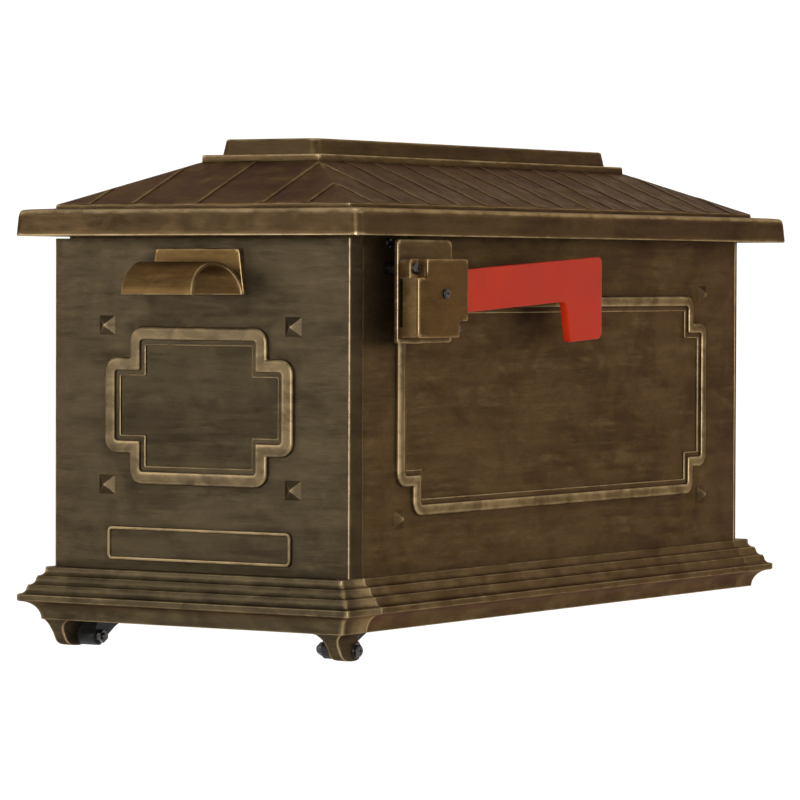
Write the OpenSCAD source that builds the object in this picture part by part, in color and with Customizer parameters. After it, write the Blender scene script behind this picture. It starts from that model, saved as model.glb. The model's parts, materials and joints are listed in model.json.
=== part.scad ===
// Post-mount mailbox in cast aluminium: a hipped roof casting on a four-sided box, with a
// drop-down front door, a side flag on a stand-off bracket and a floor plate for the post.
// Heights are given above the base moulding's lower edge, and place() then puts the
// underside of the floor plate, which is the mounting face, at z = 0.

/* [Body] */
// Width across the side walls
body_w = 240.5; // [236:0.5:244]
// Length from the door's face to the rear face
body_l = 535.8; // [500:0.2:560]
// Height of the eave's lower edge
eave_h = 261.3; // [258:0.1:268]
// Thickness of the cast walls
wall = 3.5; // [3:0.1:4]
// Height of the floor plate's underside
recess = 12; // [10:0.5:12]
// Thickness of the floor plate
floor_t = 3; // [2:0.5:4]

/* [Base moulding] */
// Height of the moulding's top ledge
base_h = 35.9; // [34:0.1:38]
// Width of the top ledge at the sides
side_ledge = 1; // [0.5:0.1:2]
// Width of the top ledge at the front
front_ledge = 10.1; // [8:0.1:12]
// Width of the top ledge at the rear
rear_ledge = 18.6; // [16:0.1:20]
// Width of each of the three steps
tread = 4.63; // [4:0.01:5]
// Height of the nosing's lower and upper edges
nose_z = [13.1, 17.5]; // [8:0.1:20]
// How far the cove's foot stands out from the ledge
cove_foot = 2; // [1:0.1:4]

/* [Roof] */
// Width over the eaves
roof_w = 281.4; // [276:0.1:280]
// Length over the eaves
roof_l = 599; // [590:0.5:604]
// How far the roof's middle is behind the body's
roof_shift = 10.9; // [10:0.1:14]
// Height of the fascia
fascia_h = 18; // [16:0.1:20]
// Width of the flat ledge above the fascia
roof_ledge = 20.5; // [17:0.1:21]
// Run of the hipped slopes
slope_run = 71.6; // [70:0.1:74]
// Rise of the hipped slopes
slope_rise = 29.9; // [26:0.1:32]
// Height of the lower cap
cap1_h = 4.9; // [4:0.1:6]
// Height of the upper cap
cap2_h = 10.9; // [8:0.1:12]
// Set-back of the upper cap
cap_in = 8.6; // [9:0.1:12]

/* [Door] */
// Depth of the door, from its face to the joint with the side walls
door_t = 15.6; // [14:0.1:17]
// Open joint between the door and the body
door_gap = 0.8; // [0.6:0.1:1.2]
// Clearance between the door's top and the eave
door_head = 1.6; // [1:0.1:3]
// Height of the door's raised frame above the base, at its middle
frame_z = 147; // [140:1:155]
// Width and height of the frame's wide part
frame_wide = [153.6, 65.2]; // [60:0.1:170]
// Width and height of the frame's tall part
frame_tall = [112.2, 106.6]; // [90:0.1:130]
// Width and height of the blank name bar
bar_size = [150, 23]; // [18:1:170]

/* [Handle] */
// How far the hood stands out from the door
hood_d = 50; // [44:1:54]
// Height of the hood
hood_h = 22; // [20:0.5:26]
// Thickness of the hood and its back plate
hood_t = 3; // [2.5:0.1:3.5]

/* [Hinge] */
// Distance of the pivot behind the door's face
hinge_y = 13.9; // [13:0.1:15]
// Distance of the pivot below the moulding's lower edge
hinge_drop = 12; // [11:0.5:14]
// Radius of the pivot screw's shank
pivot_r = 2.5; // [2:0.1:3]
// Radial clearance of the door and flag on their pivots
pivot_fit = 0.06; // [0.02:0.01:0.1]

/* [Flag] */
// Distance from the body's middle to the flag's pivot, along the box
flag_y = 196.9; // [190:0.1:200]
// Height of the flag's pivot
flag_z = 223.3; // [222:0.1:225]
// Gap between the flag and the eave that it swings past
flag_gap = 1.1; // [0.8:0.1:2]
// Thickness of the flag
flag_t = 5.6; // [4:0.1:6]
// Height of the flag's arm
arm_h = 28.8; // [24:0.2:30]
// Length of the flag from its pivot to its far end
flag_l = 213.5; // [180:0.5:220]
// Rise of the flag above the level at rest, in degrees
flag_tilt = 3; // [0:0.5:4]

/* [Post mount] */
// Hole spacing across and along the box
post_bolts = [102, 356]; // [80:1:380]
// Radius of the post holes
post_r = 3.5; // [2.5:0.1:4]

/* [Hidden] */

bronze = "#4c3d2c";
gilt = "#6b4e2a";
steel = "#a9a9a6";
black = "#1c1b1a";

// Body planes
half_w = body_w / 2;
face_y = -body_l / 2;
rear_y = body_l / 2;
seam_y = face_y + door_t;
door_back = seam_y - door_gap / 2;
side_front = seam_y + door_gap / 2;
side_rear = rear_y - wall - 0.4;
wall_top = eave_h + fascia_h - wall;
door_top = eave_h - door_head;

// Base moulding
step_h = (base_h - nose_z[1]) / 3;
nose_out = 3 * tread;
base_half_w = half_w + side_ledge + nose_out;
base_half_l = rear_y + (front_ledge + rear_ledge) / 2 + nose_out;
base_shift = (rear_ledge - front_ledge) / 2;

// Pan-head screw: head radius and height as multiples of the shank radius
head_k = 1.66;
head_h_k = 1.1;

// Hinge
hinge_pos = [face_y + hinge_y, -hinge_drop];
lug_x = [107.5, 117];
block_x = [93, 107];
washer_t = 0.8;
eye_r = 6.8;

// Flag stack, from the side wall outwards
plate_t = 3;
cover_t = 2;
flag_in = roof_w / 2 + flag_gap;
flag_out = flag_in + flag_t;
cover_in = flag_out + 0.3;
housing_x = cover_in + cover_t;
housing_d = 14.9;
plate_x = housing_x - housing_d - plate_t;
housing_y = [-229.8, -167.6];
housing_z = [193.9, 246.3];
plate_y = [-232.3, -164.6];
plate_z = [190.4, 259.3];
flag_pin_r = 2;
flag_screw_r = 2.4;
corner_cut = [11, 12.4];
flag_fix = [[-223.9, 240], [-173.2, 199.6]];

// Rows of fasteners
roof_screw_r = 2;
roof_screw_front = -222;
roof_screw_y = [12, 222];
roof_screw_z = 257;
roof_screw_grip = 2.8;
back_screw_z = [70, 155, 240];
floor_screw_y = [-200, 0, 200];
skirt_z = 249.8;
catch_y = side_front + 1.2;
strike_t = 1.2;
strike_screw_r = 1.5;

module place() {
    translate([0, 0, -recess]) children();
}

// ---- outlines -------------------------------------------------------------------------

function step_z(k) = nose_z[1] + k * step_h;

// Cove between two treads, from the lower one up
function riser(k) = [for (t = [90:-30:0])
    [(k + 1) * tread - (tread - 0.9) * (1 - cos(t)), step_z(k + 1) - 2.2 - (step_h - 2.2) * sin(t)]];

// Base moulding outside, as [distance in from the nosing, height]
function base_outline() = concat(
    [for (t = [0:15:90]) [1 + (nose_out - cove_foot - 1) * cos(t), (nose_z[0] - 0.7) * sin(t)]],
    [[0, nose_z[0]], [0, nose_z[1] - 0.6]],
    [for (k = [0:2]) for (p = riser(k)) p],
    [[nose_out, base_h - 0.6], [nose_out + 0.6, base_h]]);

// Inside of the hollow moulding
base_hollow = [[15.4, 0], [14.6, 5], [12, 10.5], [8.6, 14.6], [6.5, 17], [16, base_h - wall]];

function roof_slope_z() = eave_h + fascia_h + 0.9 + 2.6;
function cap_z() = roof_slope_z() + slope_rise;

roof_outline = [[0, eave_h], [1.5, eave_h + fascia_h - 1.6], [3.1, eave_h + fascia_h],
    [roof_ledge, eave_h + fascia_h + 0.9], [roof_ledge, roof_slope_z()],
    [roof_ledge + slope_run, cap_z()], [roof_ledge + slope_run, cap_z() + cap1_h]];
roof_hollow = [[wall, eave_h - 1], [wall + 1.5, wall_top], [roof_ledge + wall, wall_top],
    [roof_ledge + wall, roof_slope_z() - 2.4], [roof_ledge + slope_run + 3.6, cap_z() - 2.4],
    [roof_ledge + slope_run + 3.6, cap_z() + 1.4], [roof_ledge + slope_run + cap_in + 6, cap_z() + 1.4],
    [roof_ledge + slope_run + cap_in + 6, cap_z() + cap1_h + cap2_h - wall]];

function both_sides(outline, half) = concat([for (p = outline) [half - p[0], p[1]]],
    [for (i = [len(outline) - 1:-1:0]) [outline[i][0] - half, outline[i][1]]]);

// ---- shared shapes --------------------------------------------------------------------

module along_y(y0, y1) {
    translate([0, y1, 0]) rotate([90, 0, 0]) linear_extrude(y1 - y0) children();
}

module along_x(x0, x1) {
    translate([x0, 0, 0]) rotate([90, 0, 90]) linear_extrude(x1 - x0) children();
}

module block(x, y, z) {
    translate([x[0], y[0], z[0]]) cube([x[1] - x[0], y[1] - y[0], z[1] - z[0]]);
}

// Solid with the same outline on all four sides, mitred at its corners
module mitred(outline, hw, hl, shift) {
    intersection() {
        along_y(shift - hl - 9, shift + hl + 9) polygon(both_sides(outline, hw));
        translate([0, shift, 0]) along_x(-hw - 9, hw + 9) polygon(both_sides(outline, hl));
    }
}

module round_rect(size, r) {
    square([size[0] - 2 * r, size[1]], center = true);
    square([size[0], size[1] - 2 * r], center = true);
    for (x = [-1, 1], y = [-1, 1]) {
        translate([x * (size[0] / 2 - r), y * (size[1] / 2 - r)]) circle(r, $fn = 32);
    }
}

module notched_rect(wide, tall, inset) {
    r = max(10 - inset, 1.5);
    round_rect([wide[0] - 2 * inset, wide[1] - 2 * inset], r);
    round_rect([tall[0] - 2 * inset, tall[1] - 2 * inset], r);
}

// Raised bead with a lower fillet inside it, standing up along +Z
module raised_frame(wide, tall, bead) {
    for (ring = [[0, bead, 3], [bead - 0.5, bead + 4, 1.3]]) {
        translate([0, 0, -0.5]) linear_extrude(ring[2] + 0.5) difference() {
            notched_rect(wide, tall, ring[0]);
            notched_rect(wide, tall, ring[1]);
        }
    }
}

// Four-sided pyramid standing up along +Z
module stud(side, h) {
    k = 0.5;
    outline = [[-side / 2, -k], [side / 2, -k], [side / 2, 0], [0, h], [-side / 2, 0]];
    intersection() {
        along_y(-side, side) polygon(outline);
        along_x(-side, side) polygon(outline);
    }
}

// Pan-head screw along Z with its head's underside at z = 0 and the shank below
module screw(r, length) {
    difference() {
        union() {
            translate([0, 0, -length]) cylinder(r = r, h = length, $fn = 32);
            cylinder(r = r * head_k, h = r * head_h_k * 0.6, $fn = 32);
            translate([0, 0, r * head_h_k * 0.6])
                cylinder(r1 = r * head_k, r2 = r * head_k * 0.7, h = r * head_h_k * 0.4, $fn = 32);
        }
        for (a = [0, 90]) {
            rotate(a) translate([-r * 0.8, -r * 0.16, r * 0.4]) cube([r * 1.6, r * 0.32, r * 2]);
        }
    }
}

module nut(r, h) {
    difference() {
        cylinder(r = r * 1.85, h = h, $fn = 6);
        translate([0, 0, -1]) cylinder(r = r, h = h + 2, $fn = 32);
    }
}

// ---- castings -------------------------------------------------------------------------

module roof() {
    color(bronze) place() {
        difference() {
            union() {
                intersection() {
                    mitred(roof_outline, roof_w / 2, roof_l / 2, roof_shift);
                    translate([0, roof_shift, 0]) linear_extrude(500)
                        round_rect([roof_w, roof_l], 5.8);
                }
                upper_cap();
            }
            mitred(roof_hollow, roof_w / 2, roof_l / 2, roof_shift);
        }
        skirt();
    }
}

module upper_cap() {
    inset = roof_ledge + slope_run + cap_in;
    z0 = cap_z() + cap1_h;
    outline = [[inset, z0 - 2], [inset, z0 + 1], [inset + 1.6, z0 + cap2_h - 1.2], [inset + 2.8, z0 + cap2_h]];
    intersection() {
        mitred(outline, roof_w / 2, roof_l / 2, roof_shift);
        translate([0, roof_shift, 0]) linear_extrude(500)
            round_rect([roof_w - 2 * inset, roof_l - 2 * inset], 7);
    }
}

// Rim inside the walls that locates and fastens the roof
module skirt() {
    x = half_w - wall - 0.2;
    y = [side_front, rear_y - wall - 0.2];
    difference() {
        union() {
            block([-x, x], y, [skirt_z, wall_top]);
            intersection() {
                block([-x, x], y, [wall_top - 1, 400]);
                translate([0, 0, -1]) mitred(roof_outline, roof_w / 2, roof_l / 2, roof_shift);
            }
        }
        block([-x + wall, x - wall], [y[0] + wall, y[1] - wall], [0, 400]);
        for (s = [-1, 1], sy = concat([roof_screw_front], roof_screw_y)) {
            translate([s * x, sy, roof_screw_z]) rotate([0, 90, 0])
                cylinder(r = roof_screw_r, h = 20, center = true, $fn = 32);
        }
        for (cx = [-11, 11]) {
            translate([cx, y[0], skirt_z + 8]) rotate([90, 0, 0]) cylinder(r = 1.5, h = 20, center = true, $fn = 32);
        }
    }
}

module side_panel(s) {
    outline = concat(base_outline(), [[nose_out + side_ledge, base_h], [nose_out + side_ledge, wall_top],
        [nose_out + side_ledge + wall, wall_top], [nose_out + side_ledge + wall, base_h - wall + 1]],
        [for (i = [len(base_hollow) - 1:-1:0]) base_hollow[i]]);
    difference() {
        union() {
            along_y(side_front, side_rear) polygon([for (p = outline) [s * (base_half_w - p[0]), p[1]]]);
            translate([s * half_w, 2, frame_z + 0.5]) rotate([0, s * 90, 0]) rotate(90)
                raised_frame([427, 107], [387, 147], 7.5);
            for (y = [-208, 212], z = [-74.5, 74.5]) {
                translate([s * half_w, y, frame_z + 0.5 + z]) rotate([0, s * 90, 0]) stud(12.5, 4.2);
            }
            side_flanges(s);
        }
        side_holes(s);
    }
}

// Inward flanges that carry the floor plate and the back panel
module side_flanges(s) {
    scale_x = s > 0 ? [0, 0, 0] : [1, 0, 0];
    mirror(scale_x) {
        block([block_x[1] + 0.5, base_half_w - 11], [side_front + 4, side_rear], [recess - 3.5, recess]);
        block([104, half_w - wall + 0.5], [side_rear - 4, side_rear], [base_h + 4, skirt_z - 0.8]);
    }
}

module side_holes(s) {
    translate([s * half_w, roof_screw_front, roof_screw_z]) rotate([0, 90, 0])
        cylinder(r = roof_screw_r, h = 20, center = true, $fn = 32);
    for (y = roof_screw_y) {
        translate([s * (half_w - wall - 2), y, roof_screw_z]) rotate([0, s * 90, 0])
            cylinder(r = roof_screw_r, h = 2 + roof_screw_grip, $fn = 32);
    }
    for (z = back_screw_z) {
        translate([s * 110, side_rear, z]) rotate([90, 0, 0]) cylinder(r = 2, h = 20, center = true, $fn = 32);
    }
    for (y = floor_screw_y) {
        translate([s * 112, y, recess]) cylinder(r = 2, h = 20, center = true, $fn = 32);
    }
    if (s > 0) {
        for (p = flag_fix) {
            translate([half_w, p[0], p[1]]) rotate([0, 90, 0])
                cylinder(r = flag_screw_r, h = 30, center = true, $fn = 32);
        }
    }
}

module left_side_panel() {
    color(bronze) place() side_panel(-1);
}

module right_side_panel() {
    color(bronze) place() side_panel(1);
}

// Ring of base moulding between two planes across the box
module base_ring(y0, y1) {
    intersection() {
        difference() {
            mitred(base_outline(), base_half_w, base_half_l, base_shift);
            mitred(base_hollow, base_half_w, base_half_l, base_shift);
            block([-half_w + wall, half_w - wall], [face_y + wall, rear_y - wall], [-1, 400]);
        }
        block([-400, 400], [y0, y1], [-1, 100]);
    }
}

module back_panel() {
    color(bronze) place() difference() {
        union() {
            block([-half_w, half_w], [rear_y - wall, rear_y], [base_h - wall, wall_top]);
            base_ring(rear_y - wall, 400);
        }
        for (x = [-110, 110], z = back_screw_z) {
            translate([x, rear_y, z]) rotate([90, 0, 0]) cylinder(r = 2.1, h = 30, center = true, $fn = 32);
        }
    }
}

module floor_plate() {
    hw = half_w + 1;
    y = [side_front + 0.5, side_rear - 0.5];
    color(steel) place() difference() {
        block([-hw, hw], y, [recess, recess + floor_t]);
        for (x = [-0.5, 0.5], py = [-0.5, 0.5]) {
            translate([x * post_bolts[0], py * post_bolts[1], recess]) cylinder(r = post_r, h = 20, center = true, $fn = 48);
        }
        for (x = [-112, 112], py = floor_screw_y) {
            translate([x, py, recess]) cylinder(r = 2, h = 20, center = true, $fn = 32);
        }
        for (p = block_screws()) {
            translate([p[0], p[1], recess]) cylinder(r = 2, h = 20, center = true, $fn = 32);
        }
    }
}

// ---- door -----------------------------------------------------------------------------

module door_panel() {
    color(bronze) place() difference() {
        union() {
            door_tray();
            base_ring(-400, door_back);
            translate([0, face_y, frame_z]) rotate([90, 0, 0]) raised_frame(frame_wide, frame_tall, 8.7);
            for (x = [-76, 76], z = [-54, 54]) {
                translate([x, face_y, frame_z + z]) rotate([90, 0, 0]) stud(13, 4.5);
            }
            translate([0, face_y, 53.5]) rotate([90, 0, 0]) name_bar();
            for (s = [0, 1]) mirror([s, 0, 0]) hinge_lug();
            block([-13, 13], [face_y + 1, door_back - strike_t], [238, 250]);
        }
        for (s = [-1, 1]) {
            translate([s * 112, hinge_pos[0], hinge_pos[1]]) rotate([0, 90, 0])
                cylinder(r = pivot_r + pivot_fit, h = 30, center = true, $fn = 48);
            translate([s * 22, face_y, 248.5]) rotate([90, 0, 0]) cylinder(r = 2, h = 30, center = true, $fn = 32);
        }
        at_strike() cylinder(r = strike_screw_r, h = 14, center = true, $fn = 32);
    }
}

module door_tray() {
    difference() {
        block([-half_w, half_w], [face_y, door_back], [base_h - wall, door_top]);
        block([-half_w + wall, half_w - wall], [face_y + wall, rear_y], [-1, door_top - wall]);
    }
}

// Blank bar with a raised border
module name_bar() {
    translate([0, 0, -0.5]) linear_extrude(2.3) difference() {
        round_rect(bar_size, 4);
        round_rect([bar_size[0] - 5, bar_size[1] - 5], 2);
    }
    translate([0, 0, -0.5]) linear_extrude(1.1) round_rect(bar_size, 4);
}

// Foot under the moulding's corner, ending in the pivot eye
module hinge_lug() {
    y = hinge_pos[0];
    z = hinge_pos[1];
    front = face_y - front_ledge - cove_foot;
    along_x(lug_x[0], lug_x[1]) {
        translate([y, z]) circle(eye_r, $fn = 48);
        polygon([[front + 0.6, 3], [front + 0.8, -0.5], [front + 2.6, -5], [front + 5.4, -9.5], [front + 8.2, -14.5],
            [front + 11.5, -17], [y - 3, z - 6], [y + 2, z - 5], [y + 5, z], [y + 4.6, z + 5],
            [y + 1, z + 8.5], [y + 1, 20], [front + 4, 20]]);
    }
}

module door_handle() {
    plate = [[-38, 222], [38, 222], [34, 253], [-34, 253]];
    color(gilt) place() translate([0, face_y, 0]) difference() {
        union() {
            along_y(-hood_t, 0) polygon(plate);
            intersection() {
                along_x(-40, 40) hood_profile();
                linear_extrude(400) polygon([[-38, 0], [38, 0], [29, -hood_d], [-29, -hood_d]]);
                along_y(-hood_d - 5, 5) polygon(plate);
            }
        }
        for (x = [-22, 22]) {
            translate([x, 0, 248.5]) rotate([90, 0, 0]) cylinder(r = 1.6, h = 4.6, center = true, $fn = 32);
        }
    }
}

module hood_profile() {
    a = (hood_d - 1) / 2;
    c = -1 - a;
    polygon(concat([for (t = [0:10:180]) [c + a * cos(t), 222 + hood_h * sin(t)]],
        [for (t = [180:-10:0]) [c + (a - hood_t) * cos(t), 222 + (hood_h - hood_t + 0.4) * sin(t)]]));
}

module handle_screws() {
    color(steel) place() for (x = [-22, 22]) {
        translate([x, face_y + wall, 248.5]) rotate([-90, 0, 0]) screw(1.6, 5.6);
    }
}

// The front pair goes in from outside. The others go in from inside, through the roof's
// skirt into blind holes in the walls.
module roof_screws() {
    color(steel) place() for (s = [-1, 1]) {
        translate([s * half_w, roof_screw_front, roof_screw_z]) rotate([0, s * 90, 0])
            screw(roof_screw_r, wall * 2 + 2);
        for (y = roof_screw_y) {
            translate([s * (half_w - 2 * wall - 0.2), y, roof_screw_z]) rotate([0, -s * 90, 0])
                screw(roof_screw_r, wall + 0.2 + roof_screw_grip);
        }
    }
}

module back_panel_screws() {
    color(steel) place() for (x = [-110, 110], z = back_screw_z) {
        translate([x, rear_y, z]) rotate([-90, 0, 0]) screw(2, wall + 6);
    }
}

module floor_screws() {
    color(steel) place() for (x = [-112, 112], y = floor_screw_y) {
        translate([x, y, recess + floor_t]) screw(2, floor_t + 5);
    }
}

// ---- hinge ----------------------------------------------------------------------------

function block_screws() = [for (s = [-1, 1], y = [-229, -211]) [s * 100, y]];

module hinge_block() {
    y = hinge_pos[0];
    z = hinge_pos[1];
    difference() {
        union() {
            translate([block_x[0], y, z]) rotate([0, 90, 0]) cylinder(r = 6.3, h = block_x[1] - block_x[0], $fn = 48);
            along_x(block_x[0], block_x[1]) polygon([[y - 4.8, z + 3], [side_front + 1.5, recess], [-205, recess],
                [-205, recess - 5], [y + 18, z + 5], [y + 2.4, z - 4.8]]);
        }
        translate([100, y, z]) rotate([0, 90, 0]) cylinder(r = pivot_r, h = 30, center = true, $fn = 48);
        for (by = [-229, -211]) {
            translate([100, by, recess]) cylinder(r = 1.8, h = 11, center = true, $fn = 32);
        }
    }
}

module left_hinge_block() {
    color(black) place() mirror([1, 0, 0]) hinge_block();
}

module right_hinge_block() {
    color(black) place() hinge_block();
}

module hinge_block_screws() {
    color(steel) place() for (p = block_screws()) {
        translate([p[0], p[1], recess + floor_t]) screw(1.8, floor_t + 5);
    }
}

module hinge_screws() {
    color(steel) place() for (s = [0, 1]) mirror([s, 0, 0]) {
        translate([lug_x[1] + washer_t, hinge_pos[0], hinge_pos[1]]) rotate([0, 90, 0])
            screw(pivot_r, lug_x[1] + washer_t - block_x[0] + 6);
    }
}

module hinge_washers() {
    color(steel) place() for (s = [0, 1]) mirror([s, 0, 0]) {
        translate([lug_x[1] + 0.1, hinge_pos[0], hinge_pos[1]]) rotate([0, 90, 0]) difference() {
            cylinder(r = 5.2, h = washer_t - 0.1, $fn = 32);
            cylinder(r = pivot_r, h = 3, center = true, $fn = 32);
        }
    }
}

module hinge_nuts() {
    color(steel) place() for (s = [0, 1]) mirror([s, 0, 0]) {
        translate([block_x[0] - 4.2, hinge_pos[0], hinge_pos[1]]) rotate([0, 90, 0]) nut(pivot_r, 4.2);
    }
}

// ---- flag -----------------------------------------------------------------------------

module tube_x(x0, x1, y, z, r_out, r_in) {
    translate([x0, y, z]) rotate([0, 90, 0]) difference() {
        cylinder(r = r_out, h = x1 - x0, $fn = 48);
        translate([0, 0, -1]) cylinder(r = r_in, h = x1 - x0 + 2, $fn = 48);
    }
}

module hole_x(y, z, r) {
    translate([0, y, z]) rotate([0, 90, 0]) cylinder(r = r, h = 400, $fn = 48);
}

module flag_spacers() {
    color(steel) place() for (p = flag_fix) tube_x(half_w, plate_x, p[0], p[1], 4.5, flag_screw_r);
}

module flag_back_plate() {
    size = [plate_y[1] - plate_y[0], plate_z[1] - plate_z[0]];
    color(bronze) place() difference() {
        along_x(plate_x, plate_x + plate_t)
            translate([plate_y[0] + size[0] / 2, plate_z[0] + size[1] / 2]) round_rect(size, 4);
        for (p = flag_fix) hole_x(p[0], p[1], flag_screw_r);
        hole_x(-flag_y, flag_z, flag_pin_r);
    }
}

// Cover open at its top and rear, where the flag's arm swings
module flag_housing() {
    size = [housing_y[1] - housing_y[0], housing_z[1] - housing_z[0]];
    x0 = plate_x + plate_t;
    seat_x = housing_x - 6.9;
    color(gilt) place() difference() {
        union() {
            difference() {
                along_x(x0, housing_x)
                    translate([housing_y[0] + size[0] / 2, housing_z[0] + size[1] / 2]) round_rect(size, 2.5);
                block([x0 - 1, cover_in], [housing_y[0] + 3, housing_y[1] + 9], [housing_z[0] + 3, housing_z[1] + 9]);
            }
            block([x0, seat_x], [housing_y[0] + 0.5, housing_y[0] + 11], [housing_z[1] - 13, housing_z[1] - 0.5]);
            block([x0, seat_x], [housing_y[1] - 11, housing_y[1] - 0.5], [housing_z[0] + 0.5, housing_z[0] + 11]);
        }
        block([seat_x, 200], [housing_y[0] - 9, housing_y[0] + corner_cut[0]],
            [housing_z[1] - corner_cut[1], housing_z[1] + 9]);
        block([seat_x, 200], [housing_y[1] - corner_cut[0], housing_y[1] + 9],
            [housing_z[0] - 9, housing_z[0] + corner_cut[0]]);
        block([x0 - 1, x0 + 2], [housing_y[0] - 9, housing_y[0] + 5], [201, 233]);
        for (p = flag_fix) hole_x(p[0], p[1], flag_screw_r);
        hole_x(-flag_y, flag_z, flag_pin_r);
    }
}

module flag_housing_screws() {
    color(steel) place() for (p = flag_fix) {
        translate([housing_x - 6.9, p[0], p[1]]) rotate([0, 90, 0])
            screw(flag_screw_r, housing_x - 6.9 - half_w + wall + 5);
    }
}

module flag_housing_nuts() {
    color(steel) place() for (p = flag_fix) {
        translate([half_w - wall - 3.4, p[0], p[1]]) rotate([0, 90, 0]) nut(flag_screw_r, 3.4);
    }
}

module flag_outline() {
    h = arm_h / 2;
    circle(h, $fn = 64);
    polygon([[0, -h], [159.5, -h], [162.3, -h - 3], [166.3, -41.5], [168.3, -43], [207.5, -43], [210.8, -40],
        [flag_l, h - 3], [flag_l - 2.5, h], [0, h]]);
}

module flag() {
    color("#a83a23") place() difference() {
        union() {
            translate([0, -flag_y, flag_z]) rotate([flag_tilt, 0, 0]) along_x(flag_in, flag_out) flag_outline();
            tube_x(flag_in - 4.4, flag_in + 0.5, -flag_y, flag_z, 10, 1);
        }
        hole_x(-flag_y, flag_z, flag_pin_r + pivot_fit);
    }
}

module flag_spring_washer() {
    color(steel) place() tube_x(plate_x + plate_t, flag_in - 4.6, -flag_y, flag_z, 8, flag_pin_r);
}

module flag_pivot_screw() {
    color(steel) place() translate([housing_x, -flag_y, flag_z]) rotate([0, 90, 0])
        screw(flag_pin_r, housing_x - plate_x + 4.5);
}

module flag_pivot_nut() {
    color(steel) place() translate([plate_x - 3.2, -flag_y, flag_z]) rotate([0, 90, 0]) nut(flag_pin_r, 3.2);
}

// ---- magnetic catch -------------------------------------------------------------------

module catch_housing() {
    color(black) place() difference() {
        union() {
            block([-16, 16], [catch_y, catch_y + 13], [skirt_z - 12.4, skirt_z]);
            block([-16, 16], [side_front + wall + 0.1, side_front + wall + 3.1], [skirt_z - 0.5, skirt_z + 13]);
        }
        block([-12.1, 12.1], [catch_y - 1, catch_y + 10], [skirt_z - 10.4, skirt_z - 2.4]);
        for (x = [-11, 11]) {
            translate([x, catch_y, skirt_z + 8]) rotate([90, 0, 0]) cylinder(r = 1.5, h = 40, center = true, $fn = 32);
        }
    }
}

module catch_magnet() {
    color("#6d6d6f") place() block([-12, 12], [catch_y - 0.9, catch_y + 9.9], [skirt_z - 10.2, skirt_z - 2.6]);
}

module catch_screws() {
    color(steel) place() for (x = [-11, 11]) {
        translate([x, side_front + wall + 3.1, skirt_z + 8]) rotate([-90, 0, 0]) screw(1.5, 5);
    }
}

module at_strike() {
    translate([0, door_back - strike_t, 244]) rotate([-90, 0, 0]) children();
}

module strike_plate() {
    color(steel) place() difference() {
        block([-12, 12], [door_back - strike_t, door_back], [239, 249]);
        at_strike() cylinder(r1 = strike_screw_r, r2 = 2.6, h = strike_t, $fn = 32);
    }
}

module strike_screw() {
    color(steel) place() at_strike() {
        cylinder(r1 = strike_screw_r, r2 = 2.6, h = strike_t, $fn = 32);
        translate([0, 0, -6]) cylinder(r = strike_screw_r, h = 6, $fn = 32);
    }
}

roof();
left_side_panel();
right_side_panel();
back_panel();
floor_plate();
door_panel();
door_handle();
handle_screws();
roof_screws();
back_panel_screws();
floor_screws();
left_hinge_block();
right_hinge_block();
hinge_block_screws();
hinge_screws();
hinge_washers();
hinge_nuts();
flag_spacers();
flag_back_plate();
flag_housing();
flag_housing_screws();
flag_housing_nuts();
flag();
flag_spring_washer();
flag_pivot_screw();
flag_pivot_nut();
catch_housing();
catch_magnet();
catch_screws();
strike_plate();
strike_screw();
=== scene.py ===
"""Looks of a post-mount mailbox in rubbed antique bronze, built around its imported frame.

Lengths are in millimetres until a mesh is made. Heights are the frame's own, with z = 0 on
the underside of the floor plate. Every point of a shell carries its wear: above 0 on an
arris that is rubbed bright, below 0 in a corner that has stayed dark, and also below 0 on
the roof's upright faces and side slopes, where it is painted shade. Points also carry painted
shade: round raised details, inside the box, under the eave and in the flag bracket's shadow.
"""
import json
import math

import bmesh
import bpy
from mathutils import Matrix, Vector


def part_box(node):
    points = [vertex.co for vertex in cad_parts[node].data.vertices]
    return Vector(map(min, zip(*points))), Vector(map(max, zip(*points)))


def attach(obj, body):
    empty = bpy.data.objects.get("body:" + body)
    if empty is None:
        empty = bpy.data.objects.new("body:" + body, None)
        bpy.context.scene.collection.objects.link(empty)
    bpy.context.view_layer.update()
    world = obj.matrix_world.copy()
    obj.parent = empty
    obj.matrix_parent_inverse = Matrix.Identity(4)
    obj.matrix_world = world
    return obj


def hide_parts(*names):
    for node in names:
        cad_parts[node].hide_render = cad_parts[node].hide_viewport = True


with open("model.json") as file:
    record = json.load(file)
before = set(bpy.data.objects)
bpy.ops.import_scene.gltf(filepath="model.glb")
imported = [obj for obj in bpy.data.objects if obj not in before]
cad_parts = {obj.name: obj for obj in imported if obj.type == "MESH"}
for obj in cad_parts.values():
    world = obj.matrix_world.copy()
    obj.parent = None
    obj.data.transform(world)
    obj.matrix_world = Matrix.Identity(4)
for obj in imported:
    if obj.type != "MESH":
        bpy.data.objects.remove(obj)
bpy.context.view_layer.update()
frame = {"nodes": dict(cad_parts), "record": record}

MM = 0.001


# ---- sizes, from the frame ---------------------------------------------------------------

def box_mm(node):
    low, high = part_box(node)
    return low / MM, high / MM


door_high = box_mm("door_panel")[1]
side_low, side_high = box_mm("right_side_panel")
back_high = box_mm("back_panel")[1]
roof_low, roof_high = box_mm("roof")
flag_high = box_mm("flag")[1]
housing_low, housing_high = box_mm("flag_housing")
plate_low, plate_high = box_mm("flag_back_plate")

WALL = 3.5

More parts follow.
